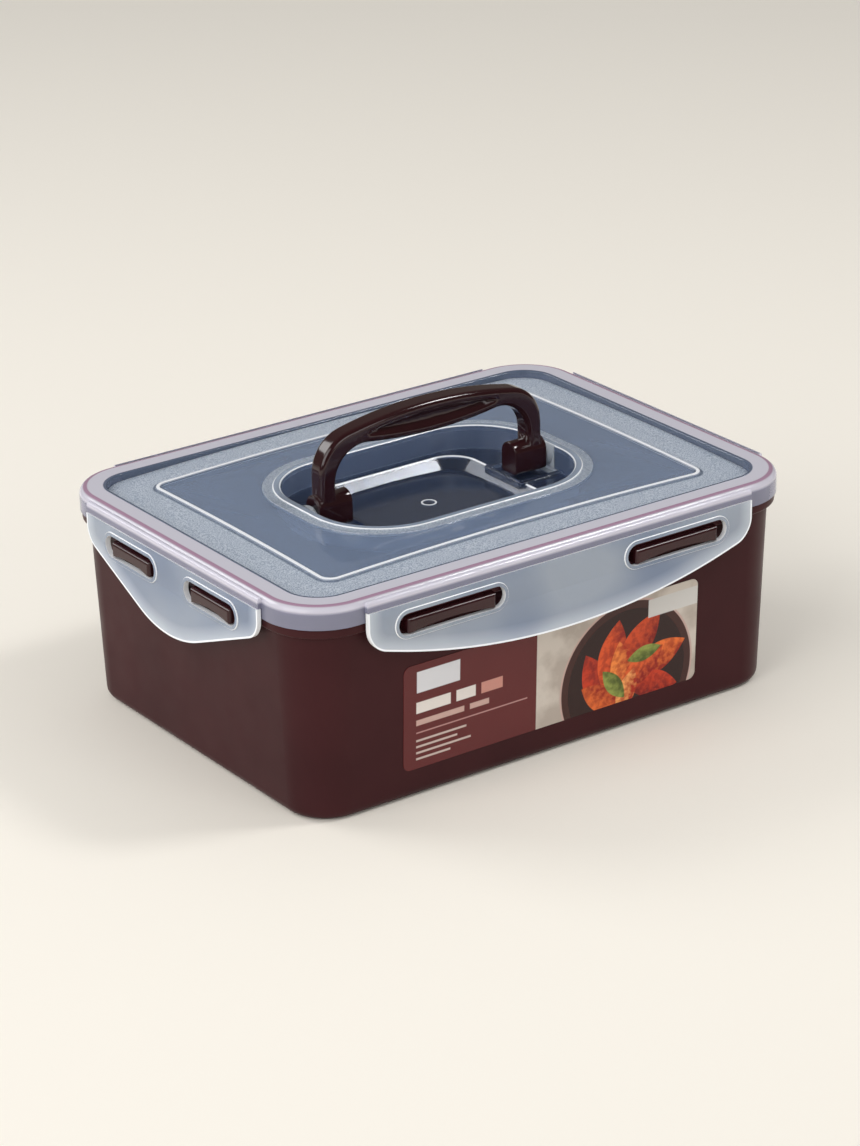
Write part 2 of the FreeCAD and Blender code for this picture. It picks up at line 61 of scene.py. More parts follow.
stageSettings = {
    "floorColour": "#f7f1e6",
    "backdropColour": "#e6ddd1",
    "floorHalf": 6.0,
    "floorRoughness": 0.9,
    "spread": 115.0,  # keeps the lamps off the floor below them
    "ambient": 0.47,
    # what gloss sees of the room towards the camera's side and towards the backdrop, and where one
    # turns to the other
    "mirrored": (0.08, 0.22),
    "turning": (-0.35, 0.5),
    "aim": (0.0, 0.0, 0.06),
    # name, place, size across, size along, power
    "lamps": [
        ("lampBack", (-0.9, 1.25, 1.1), 0.9, 0.7, 3.8),
        ("lampRight", (1.05, -0.65, 1.5), 0.35, 0.35, 3.3),
        ("lampLeft", (-1.6, -0.35, 0.95), 1.5, 1.3, 7.2),
        ("lampFront", (0.35, -1.9, 0.8), 1.1, 0.8, 2.3),
    ],
}


def linear(colour):
    # sRGB hex to scene-linear, with the usual toe
    parts = np.array([int(colour[i:i + 2], 16) for i in (1, 3, 5)]) / 255.0
    return tuple(np.where(parts <= 0.04045, parts / 12.92, ((parts + 0.055) / 1.055) ** 2.4)) + (1.0,)


def addNode(tree, kind, inputs=None, **settings):
    node = tree.nodes.new("ShaderNode" + kind)
    for key, value in settings.items():
        setattr(node, key, value)
    for key, value in (inputs or {}).items():
        if isinstance(value, bpy.types.NodeSocket):
            tree.links.new(value, node.inputs[key])
        else:
            node.inputs[key].default_value = value
    return node


def band(tree, value, low, high, first=0.0, last=1.0):
    # first below low, last above high, straight between
    return addNode(tree, "MapRange", {"Value": value, "From Min": low, "From Max": high,
                                      "To Min": first, "To Max": last}).outputs[0]


def maths(tree, operation, first, second=0.0):
    return addNode(tree, "Math", {0: first, 1: second}, operation=operation).outputs[0]


def makeCamera():
    s = viewSettings
    turn = (Matrix.Rotation(math.radians(s["azimuth"]), 4, "Z")
            @ Matrix.Rotation(math.radians(90.0 - s["elevation"]), 4, "X")
            @ Matrix.Rotation(math.radians(s["roll"]), 4, "Z"))
    data = bpy.data.cameras.new("photoCamera")
    data.lens = s["lens"]
    data.sensor_width = s["sensor"]
    data.clip_start, data.clip_end = s["clip"]
    camera = bpy.data.objects.new("photoCamera", data)
    bpy.context.scene.collection.objects.link(camera)
    back = Matrix.Translation((0, 0, s["distance"]))
    camera.matrix_world = Matrix.Translation(Vector(s["target"])) @ turn @ back
    bpy.context.scene.camera = camera


def makeStage():
    s = stageSettings
    half = s["floorHalf"]
    mesh = bpy.data.meshes.new("floor")
    corners = [(-half, -half, 0), (half, -half, 0), (half, half, 0), (-half, half, 0)]
    mesh.from_pydata(corners, [], [(0, 1, 2, 3)])
    floor = bpy.data.objects.new("floor", mesh)
    bpy.context.scene.collection.objects.link(floor)
    material = bpy.data.materials.new("floorPlaster")
    material.use_nodes = True
    shader = material.node_tree.nodes["Principled BSDF"]
    shader.inputs["Base Color"].default_value = linear(s["floorColour"])
    shader.inputs["Roughness"].default_value = s["floorRoughness"]
    mesh.materials.append(material)

    for name, place, across, along, power in s["lamps"]:
        data = bpy.data.lights.new(name, "AREA")
        data.shape = "RECTANGLE"
        data.size, data.size_y, data.energy = across, along, power
        data.spread = math.radians(s["spread"])
        lamp = bpy.data.objects.new(name, data)
        bpy.context.scene.collection.objects.link(lamp)
        lamp.location = place
        lamp.rotation_mode = "QUATERNION"
        lamp.rotation_quaternion = (Vector(s["aim"]) - Vector(place)).to_track_quat("-Z", "Y")

    world = bpy.data.worlds.new("studio")
    bpy.context.scene.world = world
    world.use_nodes = True
    tree = world.node_tree
    tree.nodes.clear()
    path = addNode(tree, "LightPath")
    seen = maths(tree, "MAXIMUM", path.outputs["Is Camera Ray"], path.outputs["Is Transmission Ray"])
    towards = addNode(tree, "SeparateXYZ", {0: addNode(tree, "TexCoord").outputs["Generated"]}).outputs[1]
    room = band(tree, towards, *s["turning"], *s["mirrored"])
    soft = addNode(tree, "Background", {"Color": (1, 1, 1, 1), "Strength": s["ambient"]})
    glossy = addNode(tree, "Background", {"Color": linear(s["backdropColour"]), "Strength": room})
    shown = addNode(tree, "Background", {"Color": linear(s["backdropColour"]), "Strength": 1.0})
    mirror = path.outputs["Is Glossy Ray"]
    lit = addNode(tree, "MixShader", {0: mirror, 1: soft.outputs[0], 2: glossy.outputs[0]})
    mixed = addNode(tree, "MixShader", {0: seen, 1: lit.outputs[0], 2: shown.outputs[0]})
    addNode(tree, "OutputWorld", {"Surface": mixed.outputs[0]})
    bpy.context.scene.view_settings.view_transform = "Standard"


makeCamera()
makeStage()
print("stage ready")


# Node helpers for the materials

def newMaterial(name, **constants):
    material = bpy.data.materials.new(name)
    material.use_nodes = True
    tree = material.node_tree
    shader = tree.nodes["Principled BSDF"]
    for key, value in constants.items():
        shader.inputs[key.replace("_", " ")].default_value = value
    place = addNode(tree, "TexCoord").outputs["Object"]
    return material, tree, shader, place


def grain(tree, place, size, detail=2.0):
    return addNode(tree, "TexNoise", {"Vector": place, "Scale": 1.0 / size, "Detail": detail}).outputs["Fac"]


def mixColour(tree, factor, first, second):
    # The node's colours are its inputs 6 and 7 and its output 2
    node = addNode(tree, "Mix", data_type="RGBA")
    for index, value in ((0, factor), (6, first), (7, second)):
        if isinstance(value, bpy.types.NodeSocket):
            tree.links.new(value, node.inputs[index])
        else:
            node.inputs[index].default_value = value
    return node.outputs[2]


def bumpFrom(tree, height, distance, strength=1.0):
    return addNode(tree, "Bump", {"Height": height, "Distance": distance, "Strength": strength}).outputs[0]


def mirroredPlace(tree, place):
    # |x|, |y| and |z|
    whole = addNode(tree, "VectorMath", {0: place}, operation="ABSOLUTE").outputs[0]
    return addNode(tree, "SeparateXYZ", {0: whole}).outputs


def insetOf(tree, place, halfLength, halfWidth, radius):
    # Level distance inwards from a rounded rectangle, in metres: radius less the length of what |x|, |y|
    # reach past the straight part, less the larger of the two where both are inside it. The height never
    # counts: it stays below that of the third value
    apart = addNode(tree, "VectorMath", {0: place}, operation="ABSOLUTE").outputs[0]
    outOfReach = 10.0
    straight = ((halfLength - radius) * mm, (halfWidth - radius) * mm, outOfReach)
    past = addNode(tree, "VectorMath", {0: apart, 1: straight}, operation="SUBTRACT").outputs[0]
    outside = addNode(tree, "VectorMath", {0: past, 1: (0, 0, 0)}, operation="MAXIMUM").outputs[0]
    reach = addNode(tree, "VectorMath", {0: outside}, operation="LENGTH").outputs["Value"]
    split = addNode(tree, "SeparateXYZ", {0: past})
    inside = maths(tree, "MINIMUM", maths(tree, "MAXIMUM", split.outputs[0], split.outputs[1]), 0.0)
    return maths(tree, "SUBTRACT", maths(tree, "SUBTRACT", radius * mm, reach), inside)


# Mesh helpers

def addPiece(name, mesh, body, material, replaced=(), smoothAngle=30.0):
    mesh.materials.clear()
    mesh.materials.append(material)
    mesh.polygons.foreach_set("use_smooth", np.ones(len(mesh.polygons), bool))
    mesh.set_sharp_from_angle(angle=math.radians(smoothAngle))
    piece = bpy.data.objects.new(name, mesh)
    bpy.context.scene.collection.objects.link(piece)
    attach(piece, body)
    if replaced:
        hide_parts(*replaced)
    return piece


def weigh(piece):
    # Large faces keep their own shading beside small roundings
    weighted = piece.modifiers.new("weighted", "WEIGHTED_NORMAL")
    weighted.keep_sharp = True
    return piece


def bevel(piece, width, angle=32.0, segments=2):
    rounded = piece.modifiers.new("rounded", "BEVEL")
    rounded.width, rounded.segments = width * mm, segments
    rounded.limit_method, rounded.angle_limit = "ANGLE", math.radians(angle)
    return piece


def paintedHighlightEdges(piece, along, width):
    # The plate's narrow faces and the bevels take a second, near-white plastic: a painted highlight along the
    # edges
    mesh, broad = piece.data, 0.9
    mesh.materials.append(paintedHighlightPlastic)
    for face in mesh.polygons:
        face.material_index = int(abs(face.normal.dot(along)) < broad)
    bevel(piece, width).modifiers["rounded"].material = 1
    return weigh(piece)


def solidCopy(name, node, keep=None, flatten=0.3):
    # A copy of the solid's own triangles, joined, with level ones merged; keep(centres, normals) picks
    # faces by their middles in millimetres
    same = 0.000004
    mesh = nodes[node].data.copy()
    mesh.name = name
    joined = bmesh.new()
    joined.from_mesh(mesh)
    bmesh.ops.remove_doubles(joined, verts=joined.verts, dist=same)
    if keep is not None:
        centres = np.array([face.calc_center_median() for face in joined.faces]) / mm
        normals = np.array([face.normal for face in joined.faces])
        dropped = np.flatnonzero(~keep(centres, normals))
        joined.faces.ensure_lookup_table()
        bmesh.ops.delete(joined, geom=[joined.faces[i] for i in dropped], context="FACES")
    if flatten:
        bmesh.ops.dissolve_limit(joined, angle_limit=math.radians(flatten), verts=joined.verts,
                                 edges=joined.edges)
    joined.to_mesh(mesh)
    joined.free()
    return mesh


def ringPoints(halfLength, halfWidth, radius, arcSteps=14, sideSteps=10):
    # Rounded rectangles, one for each entry: four quarter circles of the radius about the corners' centres,
    # joined by straight sides cut into equal steps. Gives x and y as (rings, points).
    angle = (np.arange(4)[:, None] * 0.5 + np.linspace(0.0, 0.5, arcSteps)[None, :]) * np.pi
    signX, signY = np.array([1, -1, -1, 1.0])[:, None], np.array([1, 1, -1, -1.0])[:, None]
    a, b, r = (np.asarray(v, float)[:, None, None] for v in (halfLength, halfWidth, radius))
    arcs = np.stack([signX * (a - r) + r * np.cos(angle), signY * (b - r) + r * np.sin(angle)], -1)
    step = np.linspace(0.0, 1.0, sideSteps + 2)[1:-1, None]
    ends, starts = arcs[:, :, -1:, :], np.roll(arcs, -1, axis=1)[:, :, :1, :]
    sides = ends + step * (starts - ends)
    walk = np.concatenate([arcs, sides], axis=2)
    return walk.reshape(len(walk), -1, 2)


def ringMesh(name, points, capLow=False, capHigh=False):
    # Stacked closed rings (rings, points, 3): each quad joins a point and its neighbour to the same two one
    # ring on
    rings, count = points.shape[:2]
    ring = np.arange(rings - 1)[:, None]
    first, along = np.arange(count)[None, :], (np.arange(count)[None, :] + 1) % count
    other = ring + 1
    quads = np.stack([ring * count + first, ring * count + along,
                      other * count + along, other * count + first], -1)
    faces = quads.reshape(-1, 4).tolist()
    if capLow:
        faces.append(np.arange(count)[::-1].tolist())
    if capHigh:
        faces.append((np.arange(count) + (rings - 1) * count).tolist())
    mesh = bpy.data.meshes.new(name)
    mesh.from_pydata((points.reshape(-1, 3) * mm).tolist(), [], faces)
    fixed = bmesh.new()
    fixed.from_mesh(mesh)
    bmesh.ops.recalc_face_normals(fixed, faces=fixed.faces)
    fixed.to_mesh(mesh)
    fixed.free()
    return mesh


def quarter(offset, height, toOffset, toHeight, levelFirst, steps=5):
    # Quarter of an ellipse between two profile points, leaving level or upright, without its first point
    t = np.linspace(0.0, np.pi / 2.0, steps + 1)[1:]
    across, along = (np.sin(t), 1.0 - np.cos(t)) if levelFirst else (1.0 - np.cos(t), np.sin(t))
    return list(zip(offset + (toOffset - offset) * across, height + (toHeight - height) * along))


# Sizes shared by the pieces, as in the solids' source

lidSize = {
    "halfLength": 112.0, "halfWidth": 82.5, "corner": 23.0,
    "rimTop": 85.0, "rimRadius": 2.8, "rimWidth": 10.3, "stepRadius": 0.6,
    "skirtBottom": 76.4, "skirt": 1.6, "roof": 1.6, "plug": 1.6, "plugBottom": 73.0,
    "domeTop": 85.4, "domeRadius": 2200.0, "sheet": 1.6,
    "line": (84.8, 57.9, 5.0), "lineHalf": 0.9, "lineRise": 0.8,
    "well": (54.4, 36.3, 27.0), "wellTop": 85.6, "wellWall": 1.8, "mouthRadius": 0.9,
    "lip": 3.2, "lipRadius": 0.5, "collar": 7.0, "collarTop": 85.25,
    "ledge": 76.3, "footRadius": 1.2, "floor": 1.6,
    "pocket": (36.5, 31.8, 11.5), "pocketTop": 73.7, "pocketRadius": 555.0, "gate": 3.0,
}

tubSize = {
    "height": 80.6, "rimInset": 3.1, "draft": 2.3, "wall": 2.0, "floor": 2.0, "foot": 0.8, "footBreadth": 9.0,
    "footRadius": 4.0, "insideRadius": 3.5, "rimRadius": 0.6,
    "flangeTop": 76.0, "flangeHeight": 3.5, "flangeInset": 0.7, "flangeRadius": 1.2,
    # insets of the level rings below and on the floor, and number of rings up a wall
    "underside": (70.0, 40.0), "floorRings": (25.0, 50.0, 75.0), "wallRings": 9,
    # the lugs' faces: this far outside the wall, above this height, or past the lid's outline less this
    "lugClear": 0.05, "lugLowest": 40.0, "lugNose": 0.65,
}


def lidOutline(inset):
    s = lidSize
    return s["halfLength"] - inset, s["halfWidth"] - inset, s["corner"] - inset


def grown(outline, offset):
    return outline[0] + offset, outline[1] + offset, outline[2] + offset


def domeHeight(x, y, top, radius):
    # Height of a ball whose top lies at the given height: top less radius plus the root of
    # radius^2 - x^2 - y^2
    return top - radius + np.sqrt(radius ** 2 - x ** 2 - y ** 2)


# Materials

finishSettings = {
    "index": 1.49,  # refraction of the clear plastic
    # speck: size of the fine grain and depth of its bump, in metres
    "tub": {"colour": "#39191c", "shade": "#401d20", "roughness": 0.38, "shine": 0.12,
            "speck": (0.0005, 0.000012)},
    "handle": {"colour": "#270f12", "shade": "#2e1316", "roughness": 0.1, "shine": 0.55,
               "speck": (0.0009, 0.000004)},
    "lug": {"colour": "#2e1013", "shade": "#341418", "roughness": 0.16, "shine": 0.4,
            "speck": (0.0009, 0.000004)},
    "seal": {"colour": "#c4afbf", "shade": "#ccb8c6", "roughness": 0.5, "shine": 0.3,
             "speck": (0.0005, 0.00001)},
    # colour and share of light let through, zone by zone
    # the skirt's darker, clearer tint than the rim's top is painted shade
    "lid": {"rim": ("#edeaf6", 0.34), "skirt": ("#b3b4cc", 0.62), "border": ("#e3ebf6", 0.38),
            "panel": ("#adc0de", 0.70), "collar": ("#d6dfeb", 0.52), "lip": ("#bccbdf", 0.62),
            # outer: the well's outer wall whitened and made milky, a painted glow
            "well": ("#8497bd", 0.93), "outer": ("#f8fbff", 0.3), "line": ("#fafcff", 0.12),
            # foot: a dark line of painted shade, at the foot of the rim's inner step and beside the raised
            # line
            "boss": ("#e6edf5", 0.50), "seal": ("#b995ad", 0.28), "foot": ("#75839d", 0.5)},
    "wing": {"colour": "#a4b5d1", "shade": "#d0dbea", "clearness": 0.58, "roughness": 0.12},
    # near-white opaque plastic for edges and bevels: a painted highlight
    "edge": {"colour": "#f6f9fd", "shade": "#fcfdff", "clearness": 0.0, "roughness": 0.2},
    # bevels in millimetres
    "bevel": {"lug": 0.25, "trim": 0.22, "wing": 0.3},
}

grainSettings = {
    # in metres. Opaque plastic: size and limits of the slow cloud and of the roughness, and how far that goes
    "cloud": 0.035, "blur": 0.012, "limits": (0.3, 0.7), "blurReach": (0.9, 1.12),
    # sheer plastic: size and limits of the cloud, size of the ripple, depth and strength of its bump
    "sheerCloud": 0.045, "sheerLimits": (0.36, 0.64), "ripple": 0.012, "rippleBump": (0.00012, 0.6),
}

def opaquePlastic(name, settings):
    s, g = settings, grainSettings
    material, tree, shader, place = newMaterial(name, Specular_IOR_Level=s["shine"])
    cloud = band(tree, grain(tree, place, g["cloud"]), *g["limits"])
    colour = mixColour(tree, cloud, linear(s["colour"]), linear(s["shade"]))
    tree.links.new(colour, shader.inputs["Base Color"])
    smooth, rough = (share * s["roughness"] for share in g["blurReach"])
    tree.links.new(band(tree, grain(tree, place, g["blur"]), *g["limits"], smooth, rough),
                   shader.inputs["Roughness"])
    size, depth = s["speck"]
    tree.links.new(bumpFrom(tree, grain(tree, place, size, 3.0), depth), shader.inputs["Normal"])
    return material


# Where the lid's zones begin and end, in millimetres: two limits make a step, four a window. Heights are
# named so. The others are insets from an outline, or distances from the middle for the bosses
lidZones = {
    # from the rim's outline; foot places a dark line of painted shade at the inner step's foot
    "border": (9.8, 10.6), "frost": (10.2, 10.8), "foot": (8.8, 9.2, 10.5, 10.7), "skirt": (2.0, 1.8),
    # skirt and skirtHeight mark the upright skirt, tinted darker as painted shade
    "skirtHeight": (83.0, 82.0), "seal": (1.2, 1.7, 2.8, 3.3), "sealHeight": (83.6, 83.9),
    # from the raised line; besideLine places dark lines of painted shade on both sides of it
    "panel": (-0.2, 0.2), "line": (-0.9, -0.6, 0.6, 0.9), "besideLine": (-2.1, -1.8, 1.2, 1.4),
    # from the collar's and the lip's outlines; lipEdge and mouth place painted highlights
    "collar": (-0.1, 0.1), "collarFrost": (0.1, -0.1), "lip": (-0.1, 0.1), "outerHeight": (84.2, 83.9),
    "lipEdge": (-0.1, 0.0, 0.4, 0.5), "mouth": (2.5, 2.6, 3.0, 3.1), "mouthHeight": (84.6, 84.8),
    "well": (2.6, 2.9),
    # edge of the pocket, a painted highlight, ring of the gate and the bosses behind the pins
    "pocket": (-0.5, -0.2, 0.3, 0.7), "pocketHeight": (75.7, 75.9, 76.4, 76.5),
    "gate": (-0.1, 0.1, 0.6, 0.8), "gateHeight": (73.7, 73.9),
    "bossFrom": (51.7, 51.9), "bossHalf": (6.2, 5.8),
}

lidSurface = {
    "smooth": 0.06, "well": 0.15, "frosted": 0.36,  # roughness
    # size of the frost's grain and of the wave in metres, depth and strength of their bump
    "grain": 0.0005, "wave": 0.02, "waveShare": 0.35, "bump": (0.00012, 0.8),
    "specks": (0.44, 0.58), "speck": "#a3b1c4",
}


def lidPlasticMaterial():
    # Clear in the panel and well, frosted between the raised line and the rim, milky in the rim and collar;
    # with painted highlights on edges, dark painted shade lines, a darker painted-shade skirt and a whitened
    # outer well wall as painted glow
    colours, size, surface = finishSettings["lid"], lidSize, lidSurface
    material, tree, shader, place = newMaterial("lidPlastic", IOR=finishSettings["index"])

    def both(first, second):
        return maths(tree, "MULTIPLY", first, second)

    def zone(value, key):
        low, high, *fall = (limit * mm for limit in lidZones[key])
        step = band(tree, value, low, high)
        return both(step, band(tree, value, fall[1], fall[0])) if fall else step

    x, y, height = mirroredPlace(tree, place)
    rim = insetOf(tree, place, *lidOutline(0.0))
    line = insetOf(tree, place, *size["line"])
    collar = insetOf(tree, place, *grown(size["well"], size["collar"]))
    lip = insetOf(tree, place, *grown(size["well"], size["lip"]))
    pocket = insetOf(tree, place, *size["pocket"])
    gate = insetOf(tree, place, size["gate"], size["gate"], size["gate"])

    inPanel, onLine, inCollar = zone(line, "panel"), zone(line, "line"), zone(collar, "collar")
    inLip, inWell = zone(lip, "lip"), zone(lip, "well")
    # the well's outer wall below the lip, whitened as a painted glow
    outer = both(maths(tree, "SUBTRACT", inLip, inWell), zone(height, "outerHeight"))
    lipHighlights = maths(tree, "MAXIMUM", zone(lip, "lipEdge"), zone(lip, "mouth"))
    boss = both(both(zone(x, "bossFrom"), zone(y, "bossHalf")), inWell)
    layers = [
        # skirt: the upright skirt tinted darker and clearer than the rim's top, painted shade
        ("skirt", both(zone(height, "skirtHeight"), zone(rim, "skirt"))), ("border", zone(rim, "border")),
        # the two foot layers are painted shade: a dark line at the foot of the rim's inner step and two
        # beside the raised line
        ("panel", inPanel), ("foot", zone(rim, "foot")), ("foot", zone(line, "besideLine")), ("line", onLine),
        ("collar", inCollar), ("lip", inLip), ("well", inWell), ("outer", outer),
        # near-white painted highlights on the lip's edge and mouth and on the pocket's edge, in the line's
        # colour; a near-white ring at the gate
        ("line", both(lipHighlights, zone(height, "mouthHeight"))), ("boss", boss),
        ("line", both(zone(pocket, "pocket"), zone(height, "pocketHeight"))),
        ("line", both(zone(gate, "gate"), zone(height, "gateHeight"))),
        ("seal", both(zone(rim, "seal"), zone(height, "sealHeight"))),
    ]
    colour, clearness = linear(colours["rim"][0]), colours["rim"][1]
    for name, share in layers:
        colour = mixColour(tree, share, colour, linear(colours[name][0]))
        clearness = band(tree, share, 0.0, 1.0, clearness, colours[name][1])

    # frosted border and collar against the smooth panel, lip and rim
    plain = maths(tree, "SUBTRACT", 1.0, maths(tree, "MAXIMUM", inPanel, onLine))
    frost = maths(tree, "MAXIMUM", both(zone(rim, "frost"), plain), both(inCollar, zone(lip, "collarFrost")))
    fine = grain(tree, place, surface["grain"], 2.0)
    specks = both(band(tree, fine, *surface["specks"]), frost)
    colour = mixColour(tree, specks, colour, linear(surface["speck"]))
    tree.links.new(colour, shader.inputs["Base Color"])
    tree.links.new(clearness, shader.inputs["Transmission Weight"])
    calm = band(tree, inWell, 0.0, 1.0, surface["smooth"], surface["well"])
    tree.links.new(band(tree, frost, 0.0, 1.0, calm, surface["frosted"]), shader.inputs["Roughness"])
    wave = both(grain(tree, place, surface["wave"], 1.0), surface["waveShare"])
    uneven = maths(tree, "ADD", both(fine, frost), wave)
    tree.links.new(bumpFrom(tree, uneven, *surface["bump"]), shader.inputs["Normal"])
    return material


def sheerLook(tree, place, s):
    # A slow cloud between two tints, and a faint ripple
    g = grainSettings
    cloud = band(tree, grain(tree, place, g["sheerCloud"], 1.0), *g["sheerLimits"])
    ripple = bumpFrom(tree, grain(tree, place, g["ripple"], 1.0), *g["rippleBump"])
    return mixColour(tree, cloud, linear(s["colour"]), linear(s["shade"])), ripple


def paintedHighlightPlasticMaterial():
    # Near-white opaque plastic for the edges of the wings and the lid's trim: a painted highlight
    s = finishSettings["edge"]
    material, tree, shader, place = newMaterial("paintedHighlightPlastic", IOR=finishSettings["index"],
                                                Transmission_Weight=s["clearness"], Roughness=s["roughness"])
    colour, ripple = sheerLook(tree, place, s)
    tree.links.new(colour, shader.inputs["Base Color"])
    tree.links.new(ripple, shader.inputs["Normal"])
    return material


wingSize = {
    "hinge": 80.2,
    "long": {"halfWidth": 86.0, "depth": 26.9, "shoulder": 13.6, "arcShare": 0.876, "corner": 9.5},
    "short": {"halfWidth": 57.4, "depth": 28.9, "shoulder": 10.3, "arcShare": 0.345, "corner": 8.8},
    # painted highlight inside the outline: where its bright margin ends, in metres, and the fainter painted
    # glow beyond it
    "margin": (0.0006, 0.0009), "paintedGlow": (0.0, 0.006, 0.4, 0.0),
}


def slopeAngle(half, touch, drop):
    # The angle a with (half - touch) tan a + touch tan(a / 2) = drop, found by halving
    low, high, halvings = 0.0, 1.4, 40
    for _ in range(halvings):
        angle = (low + high) / 2.0
        if (half - touch) * math.tan(angle) + touch * math.tan(angle / 2.0) < drop:
            low = angle
        else:
            high = angle
    return angle


def wingInset(tree, across, height, size):
    # Distance inwards from a wing's outline: its side line, or the slope below the shoulder and the bottom
    # arc it touches; round the corner, the corner's radius less the distance from its middle
    half, corner, touch = size["halfWidth"], size["corner"], size["arcShare"] * size["halfWidth"]
    angle = slopeAngle(half, touch, size["depth"] - size["shoulder"])
    sine, cosine = math.sin(angle), math.cos(angle)
    shoulder, radius = wingSize["hinge"] - size["shoulder"], touch / sine
    bend = (half - corner, shoulder + corner * (1.0 - sine) / cosine)
    flat = addNode(tree, "CombineXYZ", {0: across, 2: height}).outputs[0]

    def along(first, second, middle):
        whole = addNode(tree, "VectorMath", {0: flat, 1: (first, 0.0, second)}, operation="DOT_PRODUCT")
        return maths(tree, "SUBTRACT", whole.outputs["Value"], (first * middle[0] + second * middle[1]) * mm)

    def within(reach, middle):
        centre = (middle[0] * mm, 0.0, middle[1] * mm)
        arm = addNode(tree, "VectorMath", {0: flat, 1: centre}, operation="DISTANCE")
        return maths(tree, "SUBTRACT", reach * mm, arm.outputs["Value"])

    def choose(switch, first, second):
        # first where the switch is below nothing, second above
        return band(tree, switch, 0.0, 0.000001, first, second)

    side = along(-1.0, 0.0, (half, 0.0))
    arc = within(radius, (0.0, wingSize["hinge"] - size["depth"] + radius))
    low = choose(along(1.0, 0.0, (touch, 0.0)), arc, along(-sine, cosine, (half, shoulder)))
    inCorner = maths(tree, "MINIMUM", along(0.0, -1.0, bend), along(cosine, sine, bend))
    return choose(inCorner, maths(tree, "MINIMUM", side, low), within(corner, bend))


def wingPlasticMaterial(name, size, axis):
    # Sheer plate that turns near-white and milky towards its outline, a painted highlight and glow; axis is
    # the level one along the plate
    s, edge = finishSettings["wing"], finishSettings["edge"]
    index = finishSettings["index"]
    material, tree, shader, place = newMaterial(name, IOR=index, Roughness=s["roughness"])
    apart = mirroredPlace(tree, place)
    inset = wingInset(tree, apart[axis], apart[2], size)
    # near-white margin and fainter band inside the outline: painted highlight and glow
    margin = band(tree, inset, *wingSize["margin"], 1.0, 0.0)
    edgeHighlight = maths(tree, "MAXIMUM", margin, band(tree, inset, *wingSize["paintedGlow"]))
    plain, ripple = sheerLook(tree, place, s)
    tree.links.new(mixColour(tree, edgeHighlight, plain, linear(edge["colour"])), shader.inputs["Base Color"])
    clearness = band(tree, edgeHighlight, 0.0, 1.0, s["clearness"], edge["clearness"])
    tree.links.new(clearness, shader.inputs["Transmission Weight"])
    tree.links.new(ripple, shader.inputs["Normal"])
    return material


tubPlastic = opaquePlastic("tubPlastic", finishSettings["tub"])
handlePlastic = opaquePlastic("handlePlastic", finishSettings["handle"])
lidPlastic = lidPlasticMaterial()
longWingPlastic = wingPlasticMaterial("longWingPlastic", wingSize["long"], 0)
shortWingPlastic = wingPlasticMaterial("shortWingPlastic", wingSize["short"], 1)
paintedHighlightPlastic = paintedHighlightPlasticMaterial()
lugPlastic = opaquePlastic("lugPlastic", finishSettings["lug"])
sealRubber = opaquePlastic("sealRubber", finishSettings["seal"])
print("materials ready")


# Tub: one shell from the middle of its underside, round the foot, wall, flange and rim, to the middle inside

def tubInset(z):
    return tubSize["rimInset"] + (tubSize["height"] - z) * math.tan(math.radians(tubSize["draft"]))


def tubOutlines(inset):
    # Outlines for many insets. Where the corner is used up its radius stays just above nothing
    s, leastCorner = lidSize, 0.5
    return s["halfLength"] - inset, s["halfWidth"] - inset, np.maximum(s["corner"] - inset, leastCorner)


def makeTubShell():
    # Rings of the lid's outline, each at an inset and a height read off the wall's profile
    s = tubSize
    footRadius, rimRadius, wall = s["footRadius"], s["rimRadius"], s["wall"]
    foot, footEnd, floor = tubInset(0.0), tubInset(0.0) + s["footBreadth"], s["foot"] + s["floor"]
    profile = [(inset, s["foot"]) for inset in s["underside"]]
    profile += [(footEnd, s["foot"]), (footEnd, 0.0), (foot + footRadius, 0.0)]
    profile += quarter(foot + footRadius, 0.0, tubInset(footRadius), footRadius, True, steps=8)
    low, flangeRound = s["flangeTop"] - s["flangeHeight"], s["flangeInset"] + s["flangeRadius"]
    profile += [(tubInset(z), z) for z in np.linspace(footRadius, low, s["wallRings"])[1:]]
    profile += [(flangeRound, low)]
    profile += quarter(flangeRound, low, s["flangeInset"], low + s["flangeRadius"], True)
    profile += [(s["flangeInset"], s["flangeTop"]), (tubInset(s["flangeTop"]), s["flangeTop"])]
    top, innerRim = s["height"] - rimRadius, s["rimInset"] + wall
    profile += [(tubInset(top), top)]
    profile += quarter(tubInset(top), top, s["rimInset"] + rimRadius, s["height"], False)
    profile += [(innerRim - rimRadius, s["height"])]
    profile += quarter(innerRim - rimRadius, s["height"], innerRim, top, True)
    bend = floor + s["insideRadius"]
    profile += [(tubInset(z) + wall, z) for z in np.linspace(top, bend, s["wallRings"])[1:]]
    profile += quarter(tubInset(bend) + wall, bend, tubInset(floor) + wall + s["insideRadius"], floor, False,
                       steps=8)
    profile += [(inset, floor) for inset in s["floorRings"]]
    inset, height = np.array(profile).T
    walk = ringPoints(*tubOutlines(inset))
    points = np.concatenate([walk, np.broadcast_to(height[:, None, None], walk.shape[:2] + (1,))], -1)
    mesh = ringMesh("tubShell", points, capLow=True, capHigh=True)
    weigh(addPiece("tubShell", mesh, "container", tubPlastic, ["tub"]))


def lugFaces(centres, normals):
    # What the solid has outside the wall's own surface and below the lid's skirt: the eight lugs
    s, lid = tubSize, lidSize
    x, y, z = np.abs(centres).T
    wall = tubInset(z)
    out = np.maximum(x - (lid["halfLength"] - wall), y - (lid["halfWidth"] - wall))
    below = (z < s["flangeTop"] - s["flangeHeight"] - s["lugClear"]) & (z > s["lugLowest"])
    nose = np.maximum(x - lid["halfLength"], y - lid["halfWidth"]) > -s["lugNose"]
    return (out > s["lugClear"]) & below | nose


